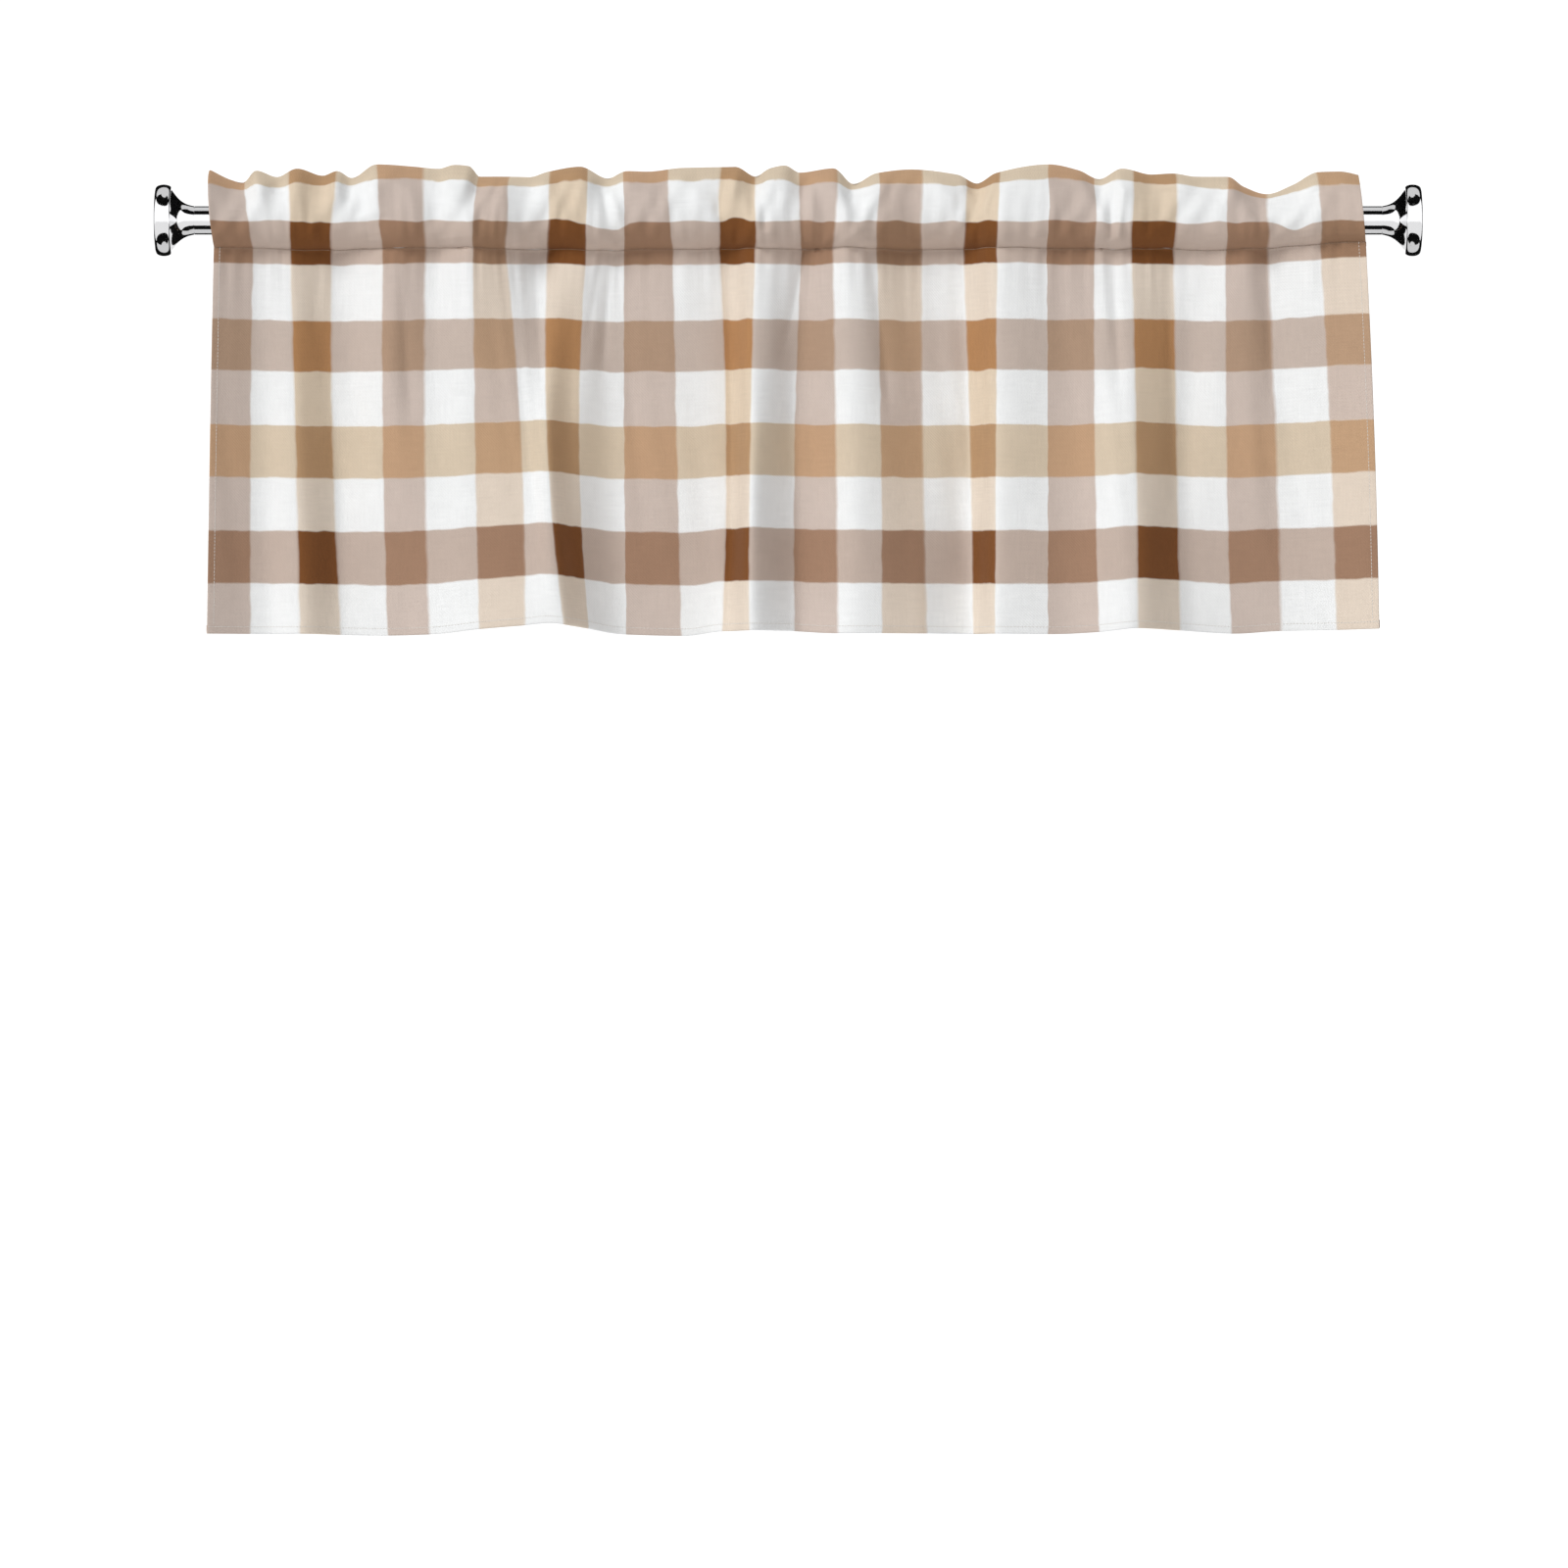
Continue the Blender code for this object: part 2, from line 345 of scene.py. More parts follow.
# Dyes, as they look in daylight (sRGB)
WHITE = (244, 245, 245)
PALE_TAUPE = (207, 191, 181)
CREAM = (230, 216, 200)
PALE_CREAM = (227, 212, 196)
DYES = {
    "white": dict(T=PALE_TAUPE, W=WHITE, B=CREAM, X=PALE_CREAM),
    "white again": dict(T=PALE_TAUPE, W=WHITE, B=(225, 207, 184), X=(207, 190, 179)),
    "sand": dict(T=(196, 160, 128), W=(217, 200, 177), B=(184, 148, 112), X=(195, 160, 127)),
    "taupe": dict(T=(178, 149, 126), W=(201, 185, 174), B=(180, 134, 92), X=(186, 154, 126)),
    "umber": dict(T=(164, 130, 107), W=(198, 180, 168), B=(126, 80, 45), X=(161, 127, 104)),
    "dark umber": dict(T=(160, 126, 102), W=(202, 184, 172), B=(124, 78, 42), X=(156, 123, 98)),
}
COLUMN_DYES = "TWBWTWXWBW"
ROW_DYES = (
    "sand",
    "white again",
    "dark umber",
    "white",
    "taupe",
    "white again",
    "sand",
    "white",
    "umber",
    "white",
)
SEAM_THREAD = ((158, 130, 109), (176, 149, 128))
HEM_THREAD = ((216, 212, 206), (232, 229, 224))


def dye(colour, paler=0.0):
    """sRGB bytes to linear light, mixed with white by paler."""
    share = np.array(colour, float) / 255
    linear = np.where(share <= 0.04045, share / 12.92, ((share + 0.055) / 1.055) ** 2.4)
    return tuple(linear * (1 - paler) + 0.86 * paler) + (1.0,)


def between_rows(at, values, query):
    """A cubic through the rows whose turning points stay on them.

    The slope at a row is the harmonic mean of the slopes beside it, or level where they differ in sign.
    """
    at, values = np.asarray(at, float), np.asarray(values, float)
    step = np.diff(at)
    rise = np.diff(values) / step
    same_way = rise[:-1] * rise[1:] > 0
    total = np.where(same_way, rise[:-1] + rise[1:], 1.0)
    inner = np.where(same_way, 2 * rise[:-1] * rise[1:] / total, 0.0)
    slope = np.concatenate([rise[:1], inner, rise[-1:]])
    left = np.clip(np.searchsorted(at, query, side="right") - 1, 0, len(step) - 1)
    share = np.clip((query - at[left]) / step[left], 0, 1)
    rest = 1 - share
    return (
        values[left] * rest**2 * (1 + 2 * share)
        + values[left + 1] * share**2 * (1 + 2 * rest)
        + slope[left] * step[left] * share * rest**2
        - slope[left + 1] * step[left] * rest * share**2
    )


EDGE_FLATS = np.concatenate([[0.0], CHECK_START + CHECK_WIDTH * np.arange(1, 27), [FLAT_WIDTH]])
EDGE_TABLE = np.array(COLUMN_EDGES, float).T * MM
FOLD_FLATS, *FOLD_TABLE = np.array(FOLDS, float).T * MM
LEAN_TABLE = np.array(POCKET_LEAN, float).T * MM
RIDGE_TABLE = np.array(RIDGE, float).T * MM
EDGE_HEIGHTS = np.array(POCKET_EDGE, float).T * MM
HEM_TABLE = np.array(HEM_LIFT, float).T * MM


def down_skirt(levels, values, drop):
    """The polynomial in the drop, 0 at the seam to 1 at the hem, that has these values at these levels."""
    total = 0.0
    for level, value in zip(levels, values):
        others = [other for other in levels if other != level]
        share = math.prod((drop - other) / (level - other) for other in others)
        total = total + value * share
    return total


def place_at(flat, drop):
    """Place along the rod: the check's columns keep their edges, and the cloth between them is spread evenly."""
    return down_skirt(SKIRT_DROPS, [between_rows(EDGE_FLATS, row, flat) for row in EDGE_TABLE], drop)


def fold_at(flat, drop):
    """How far the folds bring the cloth towards the room."""
    return down_skirt(SKIRT_DROPS, [between_rows(FOLD_FLATS, row, flat) for row in FOLD_TABLE], drop)


def seam_height(flat):
    """The seam climbs a little at its right end and wanders as sewing over gathers does."""
    share = np.clip((flat - FLAT_WIDTH + SEAM_LIFT_LENGTH) / SEAM_LIFT_LENGTH, 0, 1)
    wander = MM * (0.7 * wave(flat, 190, 1.2, 410) + 0.35 * wave(flat, 61, 1.5, 170, 0.7))
    return SEAM_HEIGHT + SEAM_LIFT_RIGHT * share * share * (3 - 2 * share) + wander


def smooth_step(start, end, value):
    share = np.clip((value - start) / (end - start), 0, 1)
    return share * share * (3 - 2 * share)


def creases(rows, flat, way):
    """Sharp folds: each falls away exponentially from its line, rounded at the top, and fades at its ends.

    way is the drop down the skirt or the rise up the pocket.
    """
    total = 0.0
    for at_seam, at_end, first, last, width, depth in rows:
        away = (flat - MM * (at_seam + (at_end - at_seam) * way)) / (width * MM)
        start = smooth_step(first - 0.06, first + 0.02, way)
        end = 1 - smooth_step(last - 0.12, last, way)
        total = total + depth * MM * np.exp(0.3 - np.sqrt(away * away + 0.09)) * start * end
    return total


def wave(flat, pitch, sway, sway_pitch, start=0.0):
    """A sine along the cloth whose pitch opens and closes as a second, longer sine sways it."""
    turn = 2 * np.pi * flat / (pitch * MM) + start
    return np.sin(turn + sway * np.sin(2 * np.pi * flat / (sway_pitch * MM) + 0.7 * start))


def puckers(flat):
    """Small gathers along the seam: a 22 mm wave and a 13 mm one, each swelling and fading along the cloth."""
    swell = 0.65 + 0.35 * wave(flat, 97, 1.3, 310, 0.4)
    return MM * (1.2 * swell * wave(flat, 22.7, 2.4, 173) + 0.5 * wave(flat, 13.1, 1.9, 111, 2.0))


def skirt(flat, drop):
    """Middle of the cloth below the seam.

    To the folds are added the gathers, which die out below the seam, the creases and some slack ripples.
    """
    top = seam_height(flat)
    x = place_at(flat, drop)
    bottom = HEM_LEVEL + between_rows(*HEM_TABLE, place_at(flat, 1.0))
    gathers = puckers(flat) * np.exp(-drop * 11)
    slack = np.sin(np.pi * np.clip(drop, 0, 1))
    long_ripple = 0.8 * wave(flat, 71, 1.5, 260, 1.1 + 3.1 * drop)
    short_ripple = 0.4 * wave(flat, 39, 2.2, 190, 2.6 - 4.3 * drop)
    ripples = MM * slack * (long_ripple + short_ripple)
    out = fold_at(flat, drop) + gathers + ripples + creases(CREASES, flat, drop)
    return np.stack([x, -out, top + (bottom - top) * drop], axis=-1)


def give(swing):
    """How far a pocket wall stands off the rod, for a fold that swings away from it."""
    return HUG_GIVE * HUG_SOFTNESS * np.log1p(np.exp((swing + HUG_REACH) / HUG_SOFTNESS))


def ridge_dents(x, flat, rise):
    """Creases that run down slantwise from each dip of the ridge, and swellings below its crests.

    They are as deep as the ridge's own departure from its mean over 48 mm, strongest four fifths of the way up.
    """
    slanted = x + 16 * MM * (1 - rise) * wave(flat, 210, 1.5, 470, 1.2)
    around = [between_rows(*RIDGE_TABLE, x + reach * MM) for reach in (-24, -16, -8, 0, 8, 16, 24)]
    departure = between_rows(*RIDGE_TABLE, slanted) - np.mean(around, axis=0)
    return RIDGE_DENTS * departure * np.exp(-(((rise - 0.8) / 0.22) ** 2))


def clear_of_rod(stand_off, level):
    """Keeps a wall off the rod: a soft maximum of its distance and of a curve that just clears the tube.

    The curve is the radius times 1 - t^2 / 2 - t^4 / 8, where t is the height over the radius.
    """
    radius = ROD_RADIUS + CLOTH_THICKNESS / 2 + ROD_CLEARANCE
    share = level / radius
    clearance = radius * (1 - share**2 / 2 - share**4 / 8)
    return clearance + CLEARANCE_SOFTNESS * np.logaddexp(0, (stand_off - clearance) / CLEARANCE_SOFTNESS)


def pocket_wall(flat, turn, side):
    """Middle of the cloth in a pocket wall, side 1 the room's and -1 the window's.

    turn goes from 0 at the seam to pi at the ridge. The section is a half ellipse pinched towards the
    ridge and towards the seam, as wide as the wall's place at the rod's axis asks, and dented by slanting dimples. The room's wall has a
    crease under the ridge where the cloth was pressed flat, and level wrinkles in patches above the seam.
    """
    rise = (1 - np.cos(turn)) / 2
    belly = np.sin(turn)
    lean_aside = between_rows(*LEAN_TABLE, flat)
    x_ridge = place_at(flat, 0.0) + lean_aside
    sway = MM * 1.3 * belly * wave(flat, 88, 1.8, 231, 1.4 + 2.6 * rise)
    x = x_ridge - lean_aside * (1 - rise) + sway
    seam = seam_height(flat)
    ridge = between_rows(*RIDGE_TABLE, x_ridge)
    swing = fold_at(flat, 0.0)

    def lean(rise):
        return swing * (1 - rise + RIDGE_FOLLOWS * rise)

    def bulge(angle):
        upper = np.clip(angle - np.pi / 2, 0, None) / (np.pi / 2)
        lower = np.clip(np.pi / 2 - angle, 0, None) / (np.pi / 2)
        return np.sin(angle) ** (1 + (RIDGE_PINCH - 1) * upper + (SEAM_PINCH - 1) * lower)

    axis_rise = -seam / (ridge - seam)
    axis_turn = np.arccos(1 - 2 * axis_rise)
    stand_off = HUG_RADIUS + give(side * swing)
    width = (stand_off - side * lean(axis_rise)) / bulge(axis_turn)
    dimples = MM * (
        1.3 * wave(flat, 63, 1.3, 171, 2.2 * turn) * belly
        + 1.0 * wave(flat, 37, 1.7, 133, 1.9 - 2.7 * turn) * belly
        + 0.7 * wave(flat, 19, 2.1, 119, 0.8) * belly * (1 - rise)
    )
    dimples = dimples + ridge_dents(x_ridge, flat, rise)
    level = seam + (ridge - seam) * rise
    if side > 0:
        below_strip = (strip_edge(ridge, x_ridge) - STRIP_CREASE_BELOW - level) / STRIP_CREASE_WIDTH
        strength = 0.6 + 0.4 * wave(flat, 83, 1.2, 240, 2.9)
        dimples = dimples - STRIP_CREASE * strength * np.exp(-(below_strip**2))
        drawn = np.sin(2 * np.pi * rise / 0.085 + 2.2 * wave(flat, 173, 1.4, 390, 0.6))
        patch = np.clip(wave(flat, 109, 1.7, 270, 2.4), 0, 1) * smooth_step(0.02, 0.08, rise)
        dimples = dimples + creases(POCKET_CREASES, flat, rise)
        dimples = dimples + TENSION_WRINKLE * drawn * patch * (1 - smooth_step(0.2, 0.34, rise))
    gathers = puckers(flat) * np.exp(-rise * 4.5)
    out = lean(rise) + side * width * bulge(turn) + side * dimples + gathers
    out = side * clear_of_rod(side * out, level)
    return np.stack([x, -out, level], axis=-1)


def strip_edge(ridge, x_ridge):
    """Height of the check's edge under the ridge: it follows the ridge's dips and crests only in part."""
    around = [between_rows(*RIDGE_TABLE, x_ridge + reach * MM) for reach in (-60, -40, -20, 0, 20, 40, 60)]
    level = np.mean(around, axis=0)
    depth = STRIP_DEPTH - STRIP_THINNER_RIGHT * smooth_step(0.1, 0.4, x_ridge)
    return np.minimum(level + STRIP_FOLLOWS * (ridge - level) - depth, ridge - STRIP_LEAST)


def surface_frame(surface, flat, drop):
    """Place, tangent along the cloth and printed-side normal, by small steps each way."""
    step = 0.4 * MM
    across = surface(flat + step, drop) - surface(flat - step, drop)
    down = surface(flat, drop + 0.001) - surface(flat, drop - 0.001)
    normal = np.cross(across, -down)
    normal /= np.linalg.norm(normal, axis=-1, keepdims=True)
    across /= np.linalg.norm(across, axis=-1, keepdims=True)
    return surface(flat, drop), across, normal


def grid_faces(rows, columns, first=0):
    """Quads of a grid whose rows climb and whose columns run to the right, so that they face the room."""
    index = first + np.arange(rows * columns).reshape(rows, columns)
    corners = (index[:-1, :-1], index[:-1, 1:], index[1:, 1:], index[1:, :-1])
    return np.stack([corner.ravel() for corner in corners], axis=1)


def make_mesh(name, points, faces, uv=None):
    """points (n, 3) and faces (m, 4) to a smooth mesh object at the origin, with uv (n, 2) if given."""
    mesh = bpy.data.meshes.new(name)
    mesh.from_pydata(points.reshape(-1, 3).tolist(), [], faces.tolist())
    if uv is not None:
        layer = mesh.uv_layers.new(name="check")
        corner = np.empty(len(mesh.loops), np.int32)
        mesh.loops.foreach_get("vertex_index", corner)
        layer.data.foreach_set("uv", uv.reshape(-1, 2)[corner].ravel())
    mesh.shade_smooth()
    made = bpy.data.objects.new(name, mesh)
    bpy.context.scene.collection.objects.link(made)
    return made


def cloth_columns():
    """Places along the cloth, 3.5 mm apart, with closer ones over each side hem."""
    inner = np.linspace(HEM_DEPTH, FLAT_WIDTH - HEM_DEPTH, 404)
    edge = np.array([0.0, 1.2, 2.4, 4.7]) * MM
    return np.concatenate([edge, inner, FLAT_WIDTH - edge[::-1]])


def row_on_skirt(drop):
    drops, rows = np.array(SKIRT_ROWS).T
    return np.interp(drop, drops, rows)


def rows_up_pocket(wall, flat):
    """Check rows up the room's wall of the pocket, by the cloth's own run from the seam.

    The rows between them are even.
    """
    run = np.cumsum(np.linalg.norm(np.diff(wall, axis=0), axis=-1), axis=0)
    run = np.concatenate([np.zeros((1, len(flat))), run])
    seam, ridge = wall[0, :, 2], wall[-1, :, 2]
    scallop = MM * (0.9 * wave(flat, 83, 1.9, 330, 0.9) + 0.4 * wave(flat, 37, 2.3, 170, 2.2))
    x_ridge = wall[-1, :, 0]

    def run_at(height):
        share = (height - seam) / (ridge - seam)
        place = np.arccos(1 - 2 * share) / np.pi * (len(wall) - 1)
        below = place.astype(int)
        part = place - below
        columns = np.arange(len(flat))
        return run[below, columns] * (1 - part) + run[below + 1, columns] * part

    near_axis = between_rows(*EDGE_HEIGHTS, x_ridge) + scallop
    edges = run_at(near_axis), run_at(strip_edge(ridge, x_ridge) - 0.4 * scallop)
    seam_row = row_on_skirt(0.0)
    lower = seam_row + (2.0 - seam_row) * run / edges[0]
    middle = 2.0 - (run - edges[0]) / (edges[1] - edges[0])
    upper = 1.0 - (1.0 - RIDGE_ROW) * (run - edges[1]) / (run[-1] - edges[1])
    return np.where(run < edges[0], lower, np.where(run < edges[1], middle, upper))


def cloth_grid():
    """The whole strip as one grid, from the turned-up hem over the skirt and the pocket to the tail.

    Returns places (rows, columns, 3) and check rows (rows, columns), before the side hems are added.
    """
    flat = cloth_columns()
    places, check_rows = [], []

    hem, _, hem_normal = surface_frame(skirt, flat, np.full_like(flat, 1.0))
    down = np.array([0, 0, -1.0])
    for depth in np.array([7.0, 4.6, 2.3]) * MM:
        place, _, normal = surface_frame(skirt, flat, np.full_like(flat, 1 - depth / SKIRT_LENGTH))
        places.append(place - 2 * HEM_ROLL * normal)
        check_rows.append(row_on_skirt(1.0) + (depth + 3 * HEM_ROLL) / ROW_DEPTH + 0 * flat)
    for angle in np.pi * np.array([1.0, 0.83, 0.66, 0.5, 0.34, 0.17]):
        back = HEM_ROLL * (1 - math.cos(angle)) * hem_normal
        places.append(hem - back + HEM_ROLL * math.sin(angle) * down)
        check_rows.append(row_on_skirt(1.0) + HEM_ROLL * angle / ROW_DEPTH + 0 * flat)

    near_seam = np.linspace(0, 0.16, 16)
    drops = np.concatenate([np.linspace(1, 0.16, 34, endpoint=False), near_seam[::-1]])
    for drop in drops:
        places.append(skirt(flat, np.full_like(flat, drop)))
        check_rows.append(row_on_skirt(drop) + 0 * flat)

    room = np.array([pocket_wall(flat, turn, 1) for turn in np.linspace(0, np.pi, 36)])
    turns = np.linspace(0, np.pi, 21)
    window = np.array([pocket_wall(flat, turn, -1) for turn in turns])
    window[..., 1] += SEAM_GAP * ((1 + np.cos(turns)) / 2)[:, None] ** 2
    room_rows = rows_up_pocket(room, flat)
    run = np.cumsum(np.linalg.norm(np.diff(window, axis=0), axis=-1), axis=0)
    share = np.concatenate([np.zeros((1, len(flat))), run / run[-1]])
    window_rows = BACK_SEAM_ROW + (RIDGE_ROW - BACK_SEAM_ROW) * share
    places += [*room[1:], *window[-2::-1]]
    check_rows += [*room_rows[1:], *window_rows[-2::-1]]

    for depth in np.array([0.35, 0.7, 1.0]) * TAIL_LENGTH:
        place, _, normal = surface_frame(skirt, flat, np.full_like(flat, depth / SKIRT_LENGTH))
        places.append(place - SEAM_GAP * normal)
        check_rows.append(BACK_SEAM_ROW - depth / ROW_DEPTH + 0 * flat)
    return flat, np.array(places), np.array(check_rows)


def turned_edge(places, flat, left):
    """Extra columns that turn a side edge back by a hem's depth, on the reverse of the cloth."""
    if not left:
        places = places[:, ::-1]
    across = np.gradient(places, axis=1)
    along = np.gradient(places, axis=0)
    normal = np.cross(across, along) * (1 if left else -1)
    normal /= np.maximum(np.linalg.norm(normal, axis=-1, keepdims=True), 1e-12)
    outward = -across[:, 0] / np.linalg.norm(across[:, 0], axis=-1, keepdims=True)
    columns, distances = [], []
    for angle in np.pi * np.array([0.25, 0.5, 0.75, 1.0]):
        back = SIDE_ROLL * (1 - math.cos(angle))
        columns.append(places[:, 0] - back * normal[:, 0] + SIDE_ROLL * math.sin(angle) * outward)
        distances.append(SIDE_ROLL * angle)
    for column in (1, 2, 3, 4):
        columns.append(places[:, column] - 2 * SIDE_ROLL * normal[:, column])
        distances.append(SIDE_ROLL * np.pi + cloth_columns()[column])
    columns = np.stack(columns, axis=1)
    distances = np.array(distances)
    if left:
        return columns[:, ::-1], -distances[::-1]
    return columns, FLAT_WIDTH + distances


def make_cloth(face_material, reverse_material):
    flat, places, check_rows = cloth_grid()
    left, left_flat = turned_edge(places, flat, True)
    right, right_flat = turned_edge(places, flat, False)
    grid = np.concatenate([left, places, right], axis=1)
    along = np.concatenate([left_flat, flat, right_flat])
    extra = left.shape[1]
    check_rows = np.pad(check_rows, ((0, 0), (extra, extra)), mode="edge")
    u = np.broadcast_to((along - CHECK_START) / CHECK_WIDTH, check_rows.shape)
    uv = np.stack([u, -check_rows], axis=-1)
    cloth = make_mesh("cloth", grid, grid_faces(*grid.shape[:2]), uv)
    cloth.data.materials.append(face_material)
    cloth.data.materials.append(reverse_material)
    thick = cloth.modifiers.new("cloth thickness", "SOLIDIFY")
    thick.thickness = CLOTH_THICKNESS
    thick.offset = 0.0
    thick.material_offset = 1
    thick.material_offset_rim = 1
    return cloth


def make_stitches(name, start, end, side, material):
    """Stitches as thin pods, each from start to end, pairs of (flat, drop) on the skirt.

    A pod's middle line arches from inside the cloth to just above it, and a six-sided ring with a squashed
    section swells and narrows along it. side is the height of the cloth's face above its middle, below 0 at
    the back.
    """
    share = np.linspace(0, 1, 6)
    flat = start[:, :1] + (end - start)[:, :1] * share
    drop = start[:, 1:] + (end - start)[:, 1:] * share
    place, across, normal = surface_frame(skirt, flat, drop)
    along = np.gradient(place, axis=1)
    along /= np.linalg.norm(along, axis=-1, keepdims=True)
    sideways = np.cross(along, normal)
    arch = np.sin(np.pi * share)[None, :, None]
    outward = math.copysign(1.0, side)
    centre = place + normal * (side + outward * MM * (0.28 * arch - 0.16))
    ring = np.linspace(0, 2 * np.pi, 6, endpoint=False)
    swell = MM * (0.16 + 0.20 * arch[..., None])
    section = (
        np.cos(ring)[None, None, :, None] * normal[:, :, None] * 0.7
        + np.sin(ring)[None, None, :, None] * sideways[:, :, None]
    )
    points = centre[:, :, None] + swell * section
    count, length, sides = points.shape[:3]
    index = np.arange(count * length * sides).reshape(count, length, sides)
    following = np.roll(index, -1, axis=2)
    quads = np.stack(
        [index[:, :-1], following[:, :-1], following[:, 1:], index[:, 1:]], axis=-1
    ).reshape(-1, 4)
    caps = [
        np.stack([index[:, 0, a], index[:, 0, b], index[:, 0, c], index[:, 0, d]], axis=-1)
        for a, b, c, d in ((3, 2, 1, 0), (5, 4, 3, 0))
    ]
    caps += [
        np.stack([index[:, -1, a], index[:, -1, b], index[:, -1, c], index[:, -1, d]], axis=-1)
        for a, b, c, d in ((0, 1, 2, 3), (0, 3, 4, 5))
    ]
    faces = np.concatenate([quads, *caps])
    stitches = make_mesh(name, points, faces[:, ::-1])
    stitches.data.materials.append(material)
    return stitches


def stitch_ends(length, pitch=3.3 * MM, gap=0.5 * MM):
    """Start and end distances of the stitches on a run of that length."""
    count = int(length / pitch)
    starts = np.arange(count) * length / count
    return starts + gap / 2, starts + length / count - gap / 2


def make_turned(name, profile, material):
    """A profile of (along, radius) points, from the outer end inwards, turned about the rod's axis."""
    along, radius = np.asarray(profile, float).T
    angle = np.linspace(0, 2 * np.pi, TURNED_SIDES, endpoint=False)
    points = np.stack(
        [
            np.broadcast_to(along[:, None], (len(along), TURNED_SIDES)),
            radius[:, None] * np.cos(angle),
            radius[:, None] * np.sin(angle),
        ],
        axis=-1,
    )
    index = np.arange(points.shape[0] * TURNED_SIDES).reshape(-1, TURNED_SIDES)
    following = np.roll(index, -1, axis=1)
    quads = np.stack([index[:-1], following[:-1], following[1:], index[1:]], axis=-1)
    turned = make_mesh(name, points, quads.reshape(-1, 4))
    turned.data.materials.append(material)
    return turned


scene = bpy.context.scene


class Nodes:
    """Adds nodes to a material's tree and joins them."""

    def __init__(self, name):
        self.material = bpy.data.materials.new(name)
        self.material.use_nodes = True
        self.tree = self.material.node_tree
        self.shader = self.tree.nodes["Principled BSDF"]

    def add(self, kind, links=(), **settings):
        node = self.tree.nodes.new(kind)
        for setting, value in settings.items():
            setattr(node, setting, value)
        for socket, source in dict(links).items():
            if isinstance(source, bpy.types.NodeSocket):
                self.tree.links.new(source, node.inputs[socket])
            else:
                node.inputs[socket].default_value = source
        return node

    def math(self, operation, first, second=0.0, third=0.0):
        links = {0: first, 1: second, 2: third}
        return self.add("ShaderNodeMath", links, operation=operation).outputs[0]

    def mix(self, share, first, second, blend="MIX"):
        node = self.add("ShaderNodeMix", data_type="RGBA", blend_type=blend)
        for socket, source in ((0, share), (6, first), (7, second)):
            if isinstance(source, bpy.types.NodeSocket):
                self.tree.links.new(source, node.inputs[socket])
            else:
                node.inputs[socket].default_value = source
        return node.outputs[2]

    def to_shader(self, **links):
        for name, source in links.items():
            self.tree.links.new(source, self.shader.inputs[name.replace("_", " ")])


def dye_ramp(nodes, place, chart, paler):
    """One row of the check: ten columns of dye, each edge soft over a thirtieth of a column."""
    ramp = nodes.add("ShaderNodeValToRGB", {0: place})
    stops = ramp.color_ramp.elements
    colours = [dye(chart[kind], paler) for kind in COLUMN_DYES]
    soft = 0.0018
    stops[0].position, stops[0].color = soft, colours[0]
    stops[1].position, stops[1].color = 1 - soft, colours[-1]
    for number in range(1, len(colours)):
        for offset, colour in ((-soft, colours[number - 1]), (soft, colours[number])):
            stop = stops.new(number / len(colours) + offset)
            stop.color = colour
    return ramp.outputs[0]


def row_mask(nodes, row, number):
    """1 inside one row of the ten and 0 outside, with an edge as soft as the columns'."""
    away = nodes.math("ABSOLUTE", nodes.math("SUBTRACT", row, number + 0.5))
    edge = nodes.add("ShaderNodeMapRange", {0: away, 1: 0.518, 2: 0.482, 3: 0.0, 4: 1.0})
    return edge.outputs[0]


